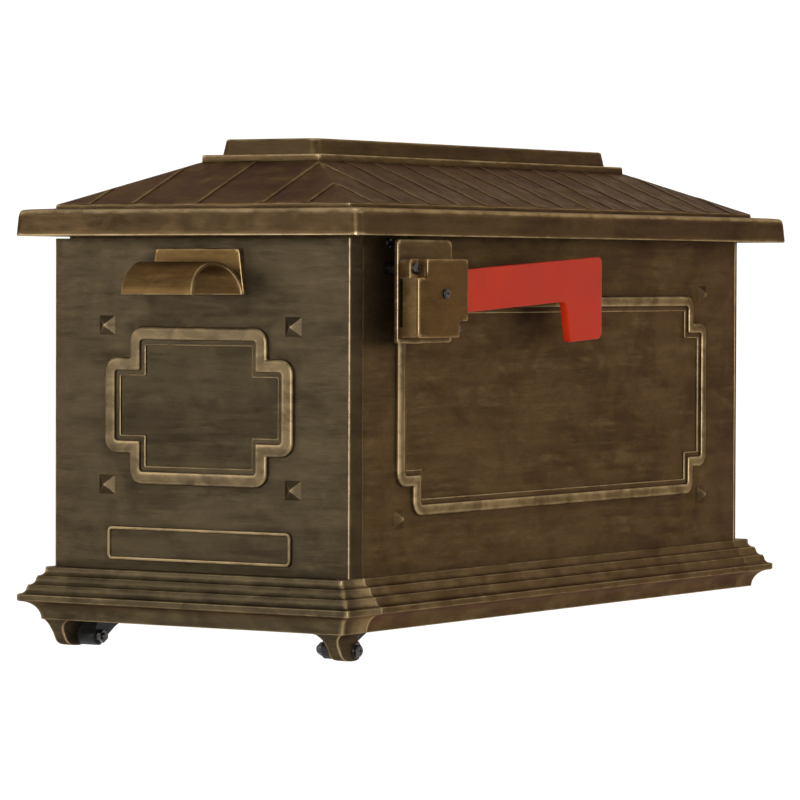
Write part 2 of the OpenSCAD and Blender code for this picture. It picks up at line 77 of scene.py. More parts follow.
# Base moulding: a cove, a nosing and three rounded steps, with a ledge between them and the walls
BASE_FOOT = -12.0
BASE_TOP = BASE_FOOT + 35.9
BASE_LENGTH = 592.28
COVE_FOOT = 2.0
COVE_RISE = 12.4
NOSE_Z = (BASE_FOOT + 13.1, BASE_FOOT + 17.5)
STEPS = 3
TREAD = 4.63
STEP = (BASE_TOP - NOSE_Z[1]) / STEPS
NOSE_OUT = STEPS * TREAD
FRONT_LEDGE, SIDE_LEDGE, REAR_LEDGE = 10.1, 1.0, 18.6

DOOR_DEPTH = 15.2
base_hw = door_high.x
base_front = back_high.y - BASE_LENGTH
base_rear = back_high.y
half_w = base_hw - NOSE_OUT - SIDE_LEDGE
face_y = base_front + NOSE_OUT + FRONT_LEDGE
rear_y = base_rear - NOSE_OUT - REAR_LEDGE
door_back = face_y + DOOR_DEPTH
side_front = side_low.y
side_rear = side_high.y
door_top = door_high.z
wall_top = side_high.z

# Roof: fascia, ledge, planked slopes, and a low and a high cap
FASCIA = 18.0
ROOF_LEDGE = 20.5
LEDGE_RISE = 3.5
SLOPE_RUN, SLOPE_RISE = 71.6, 29.9
CAP1_H, CAP2_H, CAP_IN = 4.9, 10.9, 8.6
EAVE_GAP = 1.6
eave_z = door_top + EAVE_GAP
slope_z = eave_z + FASCIA + LEDGE_RISE
cap_z = slope_z + SLOPE_RISE

# Raised details of the door and sides, as (along the wall, height)
FRAME_Z = BASE_FOOT + 147
DOOR_WIDE, DOOR_TALL, DOOR_BEAD = (153.6, 65.2), (112.2, 106.6), 8.7
SIDE_WIDE, SIDE_TALL, SIDE_BEAD = (427, 107), (387, 147), 7.5
SIDE_MID = (2.0, FRAME_Z + 0.5)
DOOR_STUDS = [(x, FRAME_Z + z) for x in (-76, 76) for z in (-54, 54)]
SIDE_STUDS = [(y, SIDE_MID[1] + z) for y in (-208, 212) for z in (-74.5, 74.5)]
BAR_Z, BAR_SIZE = BASE_FOOT + 53.5, (150, 23)

# Hinge and pull of the door
HINGE_Y, HINGE_Z = -254.0, -24.0
HANDLE_Z = BASE_FOOT + 222
HANDLE_HW, HANDLE_TOP_HW, HANDLE_H = 38, 34, 31
HOOD_D, HOOD_H, HOOD_T, HOOD_TIP_HW = 50.0, 22.0, 3.0, 29

# Flag's pivot, and its angle at rest
FLAG_Y, FLAG_Z, FLAG_TILT = -196.9, BASE_FOOT + 223.3, math.radians(3)


# ---- outlines ----------------------------------------------------------------------------

# Turn below which an outline's corner is left alone, and turn from which it is fully rubbed
SMOOTH_TURN = math.radians(24)
FULL_WEAR_TURN = math.radians(70)


def rectangle(a0, b0, a1, b1):
    return [(a0, b0), (a1, b0), (a1, b1), (a0, b1)]


def soften(outline, radius, halo=1.3, base=0.0):
    """Closed outline with rounded corners, as (a, b, wear). A point may bring its own radius."""
    out = []
    for i, point in enumerate(outline):
        here = Vector(point[:2])
        before = Vector(outline[i - 1][:2]) - here
        after = Vector(outline[(i + 1) % len(outline)][:2]) - here
        turn = math.pi - before.angle(after, math.pi)
        if turn < SMOOTH_TURN:
            out.append((here.x, here.y, base))
            continue
        side = 1 if before.y * after.x - before.x * after.y > 0 else -1
        own = point[2] if len(point) > 2 else radius
        reach = min(own * math.tan(turn / 2), 0.45 * before.length, 0.45 * after.length)
        wear = side * min(1.0, turn / FULL_WEAR_TURN)
        lead = [max(reach, min(reach + halo, 0.5 * d.length)) for d in (before, after)]
        start = here + before.normalized() * reach
        end = here + after.normalized() * reach
        first = here + before.normalized() * lead[0]
        last = here + after.normalized() * lead[1]
        out.append((first.x, first.y, base))
        for t in (0, 1 / 3, 2 / 3, 1):
            p = start * (1 - t) ** 2 + here * 2 * t * (1 - t) + end * t ** 2
            out.append((p.x, p.y, wear * (0.55 if t in (0, 1) else 1)))
        out.append((last.x, last.y, base))
    return out


def inset(outline, by):
    """Closed counter-clockwise outline with every edge moved inwards."""
    out = []
    for i, point in enumerate(outline):
        here = Vector(point[:2])
        a = (here - Vector(outline[i - 1][:2])).normalized()
        b = (Vector(outline[(i + 1) % len(outline)][:2]) - here).normalized()
        inward = Vector((-a.y - b.y, a.x + b.x))
        scale = by / max(0.3, inward.length_squared / 2)
        moved = here + inward * scale
        out.append((moved.x, moved.y, *point[2:]))
    return out


def divide(outline, step):
    """The same (a, b, wear) outline with its long edges cut into short ones."""
    out = []
    for i, p in enumerate(outline):
        q = outline[(i + 1) % len(outline)]
        parts = max(1, math.ceil(math.dist(p[:2], q[:2]) / step))
        for k in range(parts):
            t = k / parts
            out.append(tuple(p[n] + (q[n] - p[n]) * t for n in range(3)))
    return out


def steps(start, end, step):
    """Evenly spaced values from start to end, at most a step apart."""
    parts = max(1, math.ceil(abs(end - start) / step))
    return [start + (end - start) * k / parts for k in range(parts + 1)]


def moulding_section(ledge):
    """Closed section of the base moulding, as (distance out from the nosing, height, wear)."""
    points = []
    for t in range(0, 91, 10):
        a = math.radians(t)
        out = -1 - (NOSE_OUT - COVE_FOOT - 1) * math.cos(a)
        points.append((out, BASE_FOOT + COVE_RISE * math.sin(a)))
    points += [(0, NOSE_Z[0]), (0, NOSE_Z[1] - 0.6)]
    for k in range(STEPS):
        top = NOSE_Z[1] + (k + 1) * STEP
        for t in range(90, -1, -15):
            a = math.radians(t)
            points.append((-(k + 1) * TREAD + (TREAD - 0.9) * (1 - math.cos(a)),
                           top - 2.2 - (STEP - 2.2) * math.sin(a)))
    inner = -(NOSE_OUT + ledge + 1.5)
    points += [(-NOSE_OUT, BASE_TOP - 0.6), (-NOSE_OUT - 0.6, BASE_TOP), (inner, BASE_TOP)]
    points += [(inner, BASE_TOP - WALL), (-16.0, BASE_TOP - WALL)]
    points += [(-6.5, BASE_FOOT + 17), (-8.6, BASE_FOOT + 14.6)]
    points += [(-12.0, BASE_FOOT + 10.5), (-14.6, BASE_FOOT + 5), (-15.4, BASE_FOOT)]
    return soften(points, radius=0.45, halo=0.7, base=0.3)


# ---- shells ------------------------------------------------------------------------------

MERGE_DISTANCE = 2e-7
SLIVER_LENGTH = 1e-7
SHARP_ANGLE = math.radians(38)


class Casting:
    """Closed shells that make one piece."""

    def __init__(self):
        self.points = []
        self.wear = []
        self.faces = []

    def grid(self, table, wrap_rows=False, wrap_cols=False, cap_rows=False, cap_cols=False):
        """Quads between rows of (x, y, z, wear), with n-gons over the open ends."""
        base, n, m = len(self.points), len(table), len(table[0])
        for row in table:
            for p in row:
                self.points.append(p[:3])
                self.wear.append(max(-1.0, min(1.0, p[3])))

        def at(i, j):
            return base + (i % n) * m + j % m

        for i in range(n if wrap_rows else n - 1):
            for j in range(m if wrap_cols else m - 1):
                self.faces.append((at(i, j), at(i, j + 1), at(i + 1, j + 1), at(i + 1, j)))
        if cap_rows:
            self.faces.append([at(0, j) for j in range(m)])
            self.faces.append([at(n - 1, j) for j in range(m)])
        if cap_cols:
            self.faces.append([at(i, 0) for i in range(n)])
            self.faces.append([at(i, m - 1) for i in range(n)])

    def piece(self, name, body, material, node, painted_shade=None):
        """One Blender object from the shells, riding on its body in place of its CAD node."""
        mesh = bpy.data.meshes.new(name)
        mesh.from_pydata([[c * MM for c in p] for p in self.points], [], self.faces)
        # Painted shade at each point, from the piece's shade function; the bronze coat darkens by it
        shade_and_patina_mask = [painted_shade(p) if painted_shade else 0.0 for p in self.points]
        for label, values in (("wear", self.wear), ("painted_shade", shade_and_patina_mask)):
            mesh.attributes.new(label, "FLOAT", "POINT").data.foreach_set("value", values)
        bm = bmesh.new()
        bm.from_mesh(mesh)
        bmesh.ops.remove_doubles(bm, verts=bm.verts, dist=MERGE_DISTANCE)
        bmesh.ops.dissolve_degenerate(bm, edges=bm.edges, dist=SLIVER_LENGTH)
        bmesh.ops.recalc_face_normals(bm, faces=bm.faces)
        bm.to_mesh(mesh)
        bm.free()
        mesh.polygons.foreach_set("use_smooth", [True] * len(mesh.polygons))
        mesh.set_sharp_from_angle(angle=SHARP_ANGLE)
        mesh.materials.append(material)
        obj = bpy.data.objects.new(name, mesh)
        bpy.context.scene.collection.objects.link(obj)
        normals = obj.modifiers.new("normals", "WEIGHTED_NORMAL")
        normals.keep_sharp = True
        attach(obj, body)
        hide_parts(node)


def corner(centre, radius, first, halo):
    """Plan points round one corner of a rectangle, from angle `first` on by a quarter turn."""
    out = []
    for turn, w in ((0, 0.55), (22.5, 1.0), (45, 1.0), (67.5, 1.0), (90, 0.55)):
        a = math.radians(first + turn)
        out.append((centre[0] + radius * math.cos(a), centre[1] + radius * math.sin(a), w))
    a, b = math.radians(first), math.radians(first + 90)
    lead = (out[0][0] + halo * math.sin(a), out[0][1] - halo * math.cos(a), 0.0)
    tail = (out[-1][0] - halo * math.sin(b), out[-1][1] + halo * math.cos(b), 0.0)
    return [lead, *out, tail]


def plan(hw, y0, y1, radius, halo=1.5, part="all", cut=0.0):
    """Counter-clockwise plan of a rectangle, or of its front or rear part as an open path."""
    r = max(0.05, min(radius, hw * 0.49))
    ends = {"front": ([(-hw, cut, 0.7)], (0, 1), [(hw, cut, 0.7)]),
            "rear": ([(hw, cut, 0.2)], (2, 3), [(-hw, cut, 0.2)]),
            "all": ([], (0, 1, 2, 3), [])}
    centres = [(-hw + r, y0 + r), (hw - r, y0 + r), (hw - r, y1 - r), (-hw + r, y1 - r)]
    before, which, after = ends[part]
    out = list(before)
    for k in which:
        out += corner(centres[k], r, (180, 270, 0, 90)[k], halo)
    return out + after


def add_moulding(casting, part, cut, ledge):
    """Base moulding round the front or the rear, mitred at its two corners."""
    table = []
    for out, z, wear in moulding_section(ledge):
        ring = plan(base_hw + out, base_front - out, base_rear + out, 1.1, 2.5, part, cut)
        table.append([(x, y, z, wear + w * 0.8) for x, y, w in ring])
    casting.grid(table, wrap_rows=True, cap_cols=True)


def add_straight_moulding(casting, s, y0, y1):
    """Base moulding along one side, from y0 to y1; s is 1 on the right and -1 on the left."""
    table = []
    for out, z, wear in moulding_section(SIDE_LEDGE):
        row = []
        for y, cut, w in ((y0, 0.3, 0.9), (y0 + 0.35, 0, 0.9), (y0 + 2.5, 0, 0),
                          (y1 - 2, 0, 0), (y1 - 0.3, 0, 0.4), (y1, 0.3, 0.4)):
            row.append((s * (base_hw + out - cut), y, z, wear + w))
        table.append(row)
    casting.grid(table, wrap_rows=True, cap_cols=True)


def add_upright(casting, outline, levels):
    """Plan outline of (x, y, wear) drawn up through the levels, closed at both ends."""
    casting.grid([[(x, y, z, w) for x, y, w in outline] for z in levels], wrap_cols=True, cap_rows=True)


def add_block(casting, low, high, radius=0.5):
    """Box with rounded edges, for small lugs, ribs and seats."""
    (x0, y0, z0), (x1, y1, z1) = low, high
    outline = rectangle(x0, y0, x1, y1)
    table = []
    for z, e, w in ((z0, radius, 0.4), (z0 + radius, 0, 0.4), (z1 - radius, 0, 0.6), (z1, radius, 0.6)):
        ring = soften(inset(outline, e), radius, 1.5)
        table.append([(x, y, z, max(w if e else 0.3, v)) for x, y, v in ring])
    casting.grid(table, wrap_cols=True, cap_rows=True)


class Place:
    """Where a flat feature sits: u runs to its right, v up, h out of the surface."""

    def __init__(self, origin, right, out):
        self.origin, self.right, self.out = Vector(origin), Vector(right), Vector(out)
        self.up = self.out.cross(self.right)

    def at(self, u, v, h):
        return tuple(self.origin + self.right * u + self.up * v + self.out * h)


def on_door(x, z):
    return Place((x, face_y, z), (1, 0, 0), (0, -1, 0))


def on_side(s, y, z):
    return Place((s * half_w, y, z), (0, s, 0), (s, 0, 0))


def notched(wide, tall):
    """Corners of a rectangle with its own corners notched, counter-clockwise."""
    (a, b), (c, d) = (wide[0] / 2, wide[1] / 2), (tall[0] / 2, tall[1] / 2)
    return [(-c, -d), (c, -d), (c, -b), (a, -b), (a, b), (c, b),
            (c, d), (-c, d), (-c, b), (-a, b), (-a, -b), (-c, -b)]


def bent_path(corners, offset, outer_r, notch_r, arc=6):
    """The corner path moved out by offset, with round corners, as (u, v)."""
    out = []
    for i, here in enumerate(corners):
        here = Vector(here)
        t1 = (here - Vector(corners[i - 1])).normalized()
        t2 = (Vector(corners[(i + 1) % len(corners)]) - here).normalized()
        convex = t1.x * t2.y - t1.y * t2.x > 0
        r = outer_r if convex else notch_r
        tip = here + (Vector((t1.y, -t1.x)) + Vector((t2.y, -t2.x))) * offset
        centre = tip - t1 * r + t2 * r
        for k in range(arc + 1):
            a = math.pi / 2 * k / arc
            out.append(centre - t2 * r * math.cos(a) + t1 * r * math.sin(a))
    return out


def add_ridge(casting, place, corners, section, radii):
    """Closed ridge along a corner path. The section is (offset, height, wear)."""
    table = []
    for offset, h, wear in section:
        outer_r, notch_r = radii(offset)
        path = bent_path(corners, offset, outer_r, notch_r)
        table.append([(*place.at(p.x, p.y, h), wear) for p in path])
    casting.grid(table, wrap_rows=True, wrap_cols=True)


def add_raised_frame(casting, place, wide, tall, bead):
    """Rounded bead with a thin step inside it; wide and tall are its outer sizes."""
    b = bead / 2
    section = [(b, -0.5, 0), (b, 0.15, -0.7), (b - 0.12, 1.2, 0.3), (b - 0.6, 2.2, 0.85),
               (b - 1.5, 2.8, 0.75), (b - 2.8, 3.0, 0.5), (-b + 2.4, 3.0, 0.5), (-b + 0.9, 2.95, 0.75),
               (-b + 0.25, 2.7, 1.0), (-b, 2.2, 0.6), (-b, 1.3, -0.9), (-b - 0.5, 1.25, -0.3),
               (-b - 2.9, 1.25, 0.2), (-b - 3.6, 1.1, 1.0), (-b - 3.9, 0.8, 0.6), (-b - 4, 0.1, -0.8),
               (-b - 4, -0.5, 0)]
    middle = notched([v - bead for v in wide], [v - bead for v in tall])

    def radii(offset):
        return max(0.9, 6.2 + offset * 0.85), 1.1

    add_ridge(casting, place, middle, section, radii)


def add_stud(casting, place, side, height):
    """Four-sided pyramid with a small worn tip."""
    rows = [(side / 2, -0.5, 0), (side / 2, 0.05, -0.7), (side / 2 - 0.1, 0.12, 0),
            (side / 4, height * 0.52, 0.1), (0.75, height - 0.45, 0.5), (0.3, height, 0.8)]
    table = []
    for half, h, wear in rows:
        ring = plan(half, -half, half, min(0.25, half * 0.4), min(0.5, half * 0.2))
        table.append([(*place.at(u, v, h), wear + w * 0.3) for u, v, w in ring])
    casting.grid(table, wrap_cols=True, cap_rows=True)


def add_name_bar(casting, place, size):
    """Blank bar with a thin raised border."""
    corners = rectangle(-size[0] / 2, -size[1] / 2, size[0] / 2, size[1] / 2)
    section = [(0, -0.5, 0), (0, 0.1, -0.6), (-0.1, 1.1, 0.5), (-0.5, 1.7, 0.95), (-1.25, 1.8, 0.75),
               (-2.0, 1.7, 0.95), (-2.4, 1.1, 0.4), (-2.5, 0.6, -0.8), (-2.5, -0.5, 0)]
    add_ridge(casting, place, corners, section, lambda offset: (max(1.2, 4 + offset), 1))
    plate = bent_path(corners, -2.2, 1.8, 1)
    table = [[(*place.at(p.x, p.y, h), 0.05) for p in plate] for h in (-0.5, 0.6)]
    casting.grid(table, wrap_cols=True, cap_rows=True)


FACE_WEAR = 0.15


def add_slab(casting, outline, place, h0, h1, radius, halo, corner_r, back_r, mid_ridge=0.0, tone=0.0):
    """Plate with the outline, standing from h0 to h1, its face edges rounded and rubbed.

    radius rounds its front edge, back_r its back edge and corner_r the outline's corners that
    bring no radius. halo is the width of the rubbed band on the face, mid_ridge the height of
    a parting ridge round the edge, and tone the least wear.
    """
    rows = []
    for phi in (90, 60, 30, 0):
        a = math.radians(phi)
        rows.append((h0 + back_r * (1 - math.sin(a)), back_r * (1 - math.cos(a)), 0.4 if back_r else 0))
    if mid_ridge:
        middle = (h0 + h1) / 2
        rows += [(middle - 0.5, 0, 0), (middle, -mid_ridge, 0.6), (middle + 0.5, 0, 0)]
    elif h1 - h0 > 2 * radius + 4:
        rows += [(h1 - radius - 2.2, 0, 0)]
    for phi, w in ((0, 0.55), (30, 1), (60, 1), (90, 0.55)):
        a = math.radians(phi)
        rows.append((h1 - radius * (1 - math.sin(a)), radius * (1 - math.cos(a)), w))
    if halo:
        rows.append((h1, radius + halo, 0.0))
    table = []
    for h, e, w in rows:
        row = []
        for u, v, c in soften(inset(outline, e), corner_r, 2.5):
            row.append((*place.at(u, v, h), max(w, c, tone) if c >= 0 else min(w + c, 0)))
        table.append(row)
    if halo:
        table[-1] = [(*p[:3], FACE_WEAR) for p in table[-1]]
    casting.grid(table, wrap_cols=True, cap_rows=True)


# ---- painted shade: round raised details, inside the box, under the eave, and the flag bracket's shadow ---

def box_distance(u, v, half_u, half_v):
    """Distance from a rectangle round the origin, below 0 inside it."""
    du, dv = abs(u) - half_u, abs(v) - half_v
    return math.hypot(max(du, 0), max(dv, 0)) + min(max(du, dv), 0)


def near(distance, reach):
    """1 at no distance, falling to 0 at the reach."""
    t = max(0.0, 1 - abs(distance) / reach)
    return t * t


def frame_distance(u, v, wide, tall):
    return min(box_distance(u, v, *[c / 2 for c in size]) for size in (wide, tall))


def wall_shade(z):
    """Shade above the base moulding and under the eave."""
    return 0.5 * near(z - BASE_TOP, 7) + 0.5 * near(z - eave_z, 14)


# Painted shade on the box's inner faces
INSIDE_SHADE = 0.25


# Painted shade on the door: round the raised frame, the name bar and the handle, over the frame's middle,
# on the inner faces, above the moulding and under the eave
def door_painted_shade(p):
    x, y, z = p
    if y > face_y + 1 or z < BASE_TOP - 0.5:
        return INSIDE_SHADE if y > face_y + 3 else 0.0
    d = frame_distance(x, z - FRAME_Z, DOOR_WIDE, DOOR_TALL)
    shade = 0.45 * near(d, 7) + 0.3 * min(1.0, max(0.0, -d - 8) / 10)
    shade += 0.4 * near(box_distance(x, z - BAR_Z, BAR_SIZE[0] / 2, BAR_SIZE[1] / 2), 6)
    shade += 0.5 * near(box_distance(x, z - HANDLE_Z - 8, HANDLE_HW, 20), 12)
    return min(1.0, shade + wall_shade(z))


# Painted shade on a side wall: round the raised frame, on the inner faces, above the moulding and under the
# eave
def side_painted_shade(p):
    x, y, z = p
    if abs(x) < half_w - 1 or z < BASE_TOP - 0.5:
        return INSIDE_SHADE if abs(x) < half_w - 3 else 0.0
    d = frame_distance(y - SIDE_MID[0], z - SIDE_MID[1], SIDE_WIDE, SIDE_TALL)
    shade = 0.45 * near(d, 7)
    # Painted shadow of the flag bracket on the right wall: full over the strip from the door's edge to the
    # bracket, fading within 14 mm round it
    if x > 0:
        bracket = box_distance(y - plate_low.y, z - plate_low.z - 34, 36, 33)
        shade += 0.9 * near(max(0, bracket), 14)
    return min(1.0, shade + wall_shade(z))


# Painted shade on the back: above the moulding and under the eave on its outer face, and a little
# everywhere else
def back_painted_shade(p):
    return min(1.0, wall_shade(p[2])) if p[1] > rear_y - 1 and p[2] > BASE_TOP - 0.5 else 0.1


# Painted shade on the outer face of the flag housing's cover
def housing_painted_shade(p):
    return 0.35 if p[0] > housing_high.x - 2.5 else 0.0


# ---- the pieces --------------------------------------------------------------------------

# Wear below 0 on the roof's upright faces: painted shade, which also makes them a little rougher than the
# walls
UPRIGHT_SHADE = -0.45


def make_roof(material):
    roof = Casting()
    mid = (roof_low.y + roof_high.y) / 2
    hw, hl = (roof_high.x - roof_low.x) / 2, (roof_high.y - roof_low.y) / 2
    slope_end = ROOF_LEDGE + SLOPE_RUN
    fascia_z = eave_z + FASCIA
    cap1_z = cap_z + CAP1_H
    cap2_z = cap1_z + CAP2_H

    def level(by, z, wear, radius, corner_wear):
        ring = plan(hw - by, mid - hl + by, mid + hl - by, radius, 3)
        return [(x, y, z, wear + w * corner_wear) for x, y, w in ring]

    # Fascia, ledge, slopes and lower cap, and back down inside as a hollow casting, as
    # (distance in from the eave, height, wear, corner radius)
    fascia = [(0.7, eave_z, 0.5, 5.4), (0.1, eave_z + 0.3, 1, 5.8), (0.05, eave_z + 1, 0.5, 5.8),
              (0.25, eave_z + 3.5, UPRIGHT_SHADE, 5.8), (1.0, fascia_z - 5, UPRIGHT_SHADE, 5.8),
              (1.45, fascia_z - 2.6, 0.5, 5.6), (2.1, fascia_z - 1.1, 1, 5.4),
              (3.3, fascia_z - 0.2, 0.8, 5), (4.6, fascia_z, 0.3, 4)]
    ledge = [(9, fascia_z + 0.3, 0, 2), (ROOF_LEDGE - 1.2, fascia_z + 0.8, -0.2, 1.5),
             (ROOF_LEDGE, fascia_z + 0.95, -0.9, 1.2), (ROOF_LEDGE + 0.1, slope_z - 0.5, 0.5, 1.2),
             (ROOF_LEDGE + 0.6, slope_z - 0.05, 0.8, 1.1), (ROOF_LEDGE + 2.5, slope_z + 0.75, 0, 1)]
    low_cap = [(slope_end - 2, cap_z - 0.85, 0, 1), (slope_end, cap_z, -0.8, 1.0),
               (slope_end + 0.05, cap1_z - 0.9, 0.5, 1.2), (slope_end + 0.35, cap1_z - 0.25, 1, 1.2),
               (slope_end + 1, cap1_z, 0.6, 1.0), (slope_end + 3, cap1_z, 0, 1.0),
               (slope_end + CAP_IN + 1, cap1_z, -0.3, 1.0)]
    inside = [(slope_end + CAP_IN + 1, cap_z + 1.4, 0, 1), (slope_end + 3.6, cap_z + 1.4, 0, 1),
              (slope_end + 3.6, cap_z - 2.4, 0, 1), (ROOF_LEDGE + WALL, slope_z - 2.4, 0, 1),
              (ROOF_LEDGE + WALL, wall_top, 0, 1), (WALL + 1.5, wall_top, -0.5, 4),
              (WALL, eave_z + 0.5, 0, 4), (WALL - 0.4, eave_z, 0.5, 4)]
    rows = fascia + ledge + low_cap + inside
    table = [level(*row, 0.75 if row[3] < 3 else 0.45) for row in rows]
    roof.grid(table, wrap_rows=True, wrap_cols=True)

    # Upper cap, with drafted sides and round corners
    cap = slope_end + CAP_IN
    rows = [(cap, cap1_z - 1, 0, 7), (cap, cap1_z + 0.1, -0.8, 7), (cap + 0.2, cap1_z + 1.2, UPRIGHT_SHADE, 7),
            (cap + 1.4, cap2_z - 2.6, UPRIGHT_SHADE, 7), (cap + 1.75, cap2_z - 1.1, 0.4, 6.6),
            (cap + 2.3, cap2_z - 0.3, 0.8, 6.2), (cap + 3.2, cap2_z, 0.4, 5.4), (cap + 6, cap2_z, 0, 4)]
    roof.grid([level(*row, 0.45) for row in rows], wrap_cols=True, cap_rows=True)

    add_planks(roof, mid, hw, hl)

    # Rim inside the walls
    x, y0, y1 = half_w - WALL - 0.2, side_front, rear_y - WALL - 0.2
    rim = []
    for e, z, w in ((0.4, roof_low.z, 0.3), (0, roof_low.z + 0.4, 0.3), (0, slope_z - 0.5, 0),
                    (WALL, slope_z - 0.5, 0), (WALL, roof_low.z + 0.4, 0.3),
                    (WALL - 0.4, roof_low.z, 0.3)):
        rim.append([(a, b, z, w) for a, b, _ in plan(x - e, y0 + e, y1 - e, 1, 3)])
    roof.grid(rim, wrap_rows=True, wrap_cols=True)
    roof.piece("roof_casting", "box", material, "roof")


LAP = 0.7
PLANK_DEPTH = 1.6
FRONT_SEAMS = [x - 1.6 for x in (-89, -53.2, 0, 53.2, 89)]
SIDE_SEAMS = [35.43 * k for k in range(-7, 8)]


def add_planks(roof, mid, hw, hl):
    """Lapped planks on the four slopes, each a thin wedge with its high edge at the lap."""
    run, rise = SLOPE_RUN - 0.6, SLOPE_RISE
    lift = Vector((-rise, run)) / math.hypot(run, rise)     # out of the slope, as (level, height)
    edge_hw, edge_hl = hw - ROOF_LEDGE - 1.1, hl - ROOF_LEDGE - 1.1

    # Each slope's outward and along directions, distance, half width, seams, the side of a
    # plank that is high, and the wear of its face. The side slopes' face wear is below 0: painted
    # shade that darkens them.
    slopes = [((0, -1), (1, 0), edge_hl, edge_hw, FRONT_SEAMS, 1, 0.2),
              ((0, 1), (-1, 0), edge_hl, edge_hw, FRONT_SEAMS, 1, 0.2),
              ((1, 0), (0, 1), edge_hw, edge_hl, SIDE_SEAMS, -1, -0.3),
              ((-1, 0), (0, -1), edge_hw, edge_hl, SIDE_SEAMS, 1, -0.3)]
    for out, along, reach, half, seams, high, face in slopes:
        edges = [-half, *seams, half]
        for a, b in zip(edges, edges[1:]):
            table = []
            for u in [a + 0.12, a + 0.7, *steps(a + 4, b - 4, 9), b - 0.7, b - 0.12]:
                share = (u - a) / (b - a)
                thick = LAP * (share if high > 0 else 1 - share)
                at_lap = u > b - 0.9 if high > 0 else u < a + 0.9
                arris = 0.6 if at_lap else face
                top = min(run, max(0.4, half - abs(u)))
                row = []
                for t in (0, 0.012, 0.03, 0.3, 0.6, 0.9, 0.985, 1):
                    v = top * t
                    fade = min(1.0, (top - v) / 2.5) if top < run else 1.0
                    h = 0.12 + thick * fade if t > 0.001 else 0.05 + thick * 0.55
                    w = arris if 0.01 < t < 0.99 else 0.35
                    row.append((v, h, max(w, 0.35) if t < 0.02 else w))
                low_row = [(v, -PLANK_DEPTH, 0) for v, _, _ in reversed(row)]
                ring = []
                for v, h, w in row + low_row:
                    z = slope_z + v * rise / run + lift.y * h
                    d = reach - v - lift.x * h
                    ring.append((out[0] * d + along[0] * u, mid + out[1] * d + along[1] * u, z, w))
                table.append(ring)
            roof.grid(table, wrap_cols=True, cap_rows=True)


def make_door(material):
    door = Casting()
    x, y = half_w, face_y
    outline = [(-x, door_back), (-x, y, 1.0), (x, y, 1.0), (x, door_back),
               (x - WALL, door_back), (x - WALL, y + WALL), (-x + WALL, y + WALL), (-x + WALL, door_back)]
    levels = steps(BASE_TOP - WALL, BASE_TOP - 0.1, 4) + steps(BASE_TOP + 2, door_top - 3, 4)
    levels += [door_top - 0.4, door_top]
    tray = [(a, b, w if b < y + 3 else 0) for a, b, w in divide(soften(outline, 0.4, 0.5), 4)]
    add_upright(door, tray, levels)
    lip_low = (-x + 1, y + 0.6, door_top - WALL)
    lip_high = (x - 1, door_back - 0.1, door_top - 0.02)
    add_block(door, lip_low, lip_high, 0.3)
    add_moulding(door, "front", door_back, FRONT_LEDGE)
    add_raised_frame(door, on_door(0, FRAME_Z), DOOR_WIDE, DOOR_TALL, DOOR_BEAD)
    for u, v in DOOR_STUDS:
        add_stud(door, on_door(u, v), 13, 4.5)
    add_name_bar(door, on_door(0, BAR_Z), BAR_SIZE)
    for s in (-1, 1):
        add_lug(door, s)
    add_block(door, (-13, y + 1, 226), (13, door_back - 1.2, 238), 0.6)
    door.piece("door_casting", "door", material, "door_panel", door_painted_shade)


def add_lug(door, s):
    """Foot under the moulding's corner that carries the pivot eye, flared where it leaves the cove."""
    front = face_y - FRONT_LEDGE - COVE_FOOT
    eye = 6.8

    # Front edge, as (height above the moulding's foot, distance behind its front, wear)
    edge = [(12, 4, 0.2), (5, 0.3, 0.3), (0, 0.45, 0.4), (-0.5, 0.8, 0.4), (-3, 1.7, 0.5),
            (-5, 2.6, 0.5), (-7.5, 4.0, 0.5), (-9.5, 5.4, 0.5), (-12, 6.8, 0.5), (-14.5, 8.3, 0.5),
            (-16.3, 10.3, 0.5), (-17.6, 13, 0.5), (-18.4, 16.5, 0.6), (-18.78, 21, 0.6)]
    table = []
    for h, front_in, wear in edge:
        z = BASE_FOOT + h
        y0 = front + front_in
        below = z - HINGE_Z
        bulge = math.sqrt(max(0.0, eye * eye - below * below))
        y1 = HINGE_Y + (bulge if h < -6.5 else max(1.0, bulge * (1 - (h + 6.5) / 6.5)))
        t = min(1.0, max(0.0, (h + 10) / 10))
        flare = 1 - math.sqrt(max(0.0, 1 - t * t)) if h > -10 else 0.0
        x0, x1 = 107.5 - 9 * flare, 117 + 5.5 * flare
        taper = 0.9 if h < -18.6 else (0.35 if h < -18.2 else 0)
        x0, x1 = x0 + taper, x1 - taper
        y0, y1 = y0 + taper, y1 - taper
        middle = (x0 + x1) / 2
        ring = plan((x1 - x0) / 2, y0, y1, min(0.9, (y1 - y0) * 0.4), 1.2)
        table.append([(s * (middle + a), b, z, max(wear * 0.3, w)) for a, b, w in ring])
    door.grid(table, wrap_cols=True, cap_rows=True)


def add_side_block(side, s, x0, x1, y, z):
    low = (min(s * x0, s * x1), y[0], z[0])
    high = (max(s * x0, s * x1), y[1], z[1])
    add_block(side, low, high, 0.4)


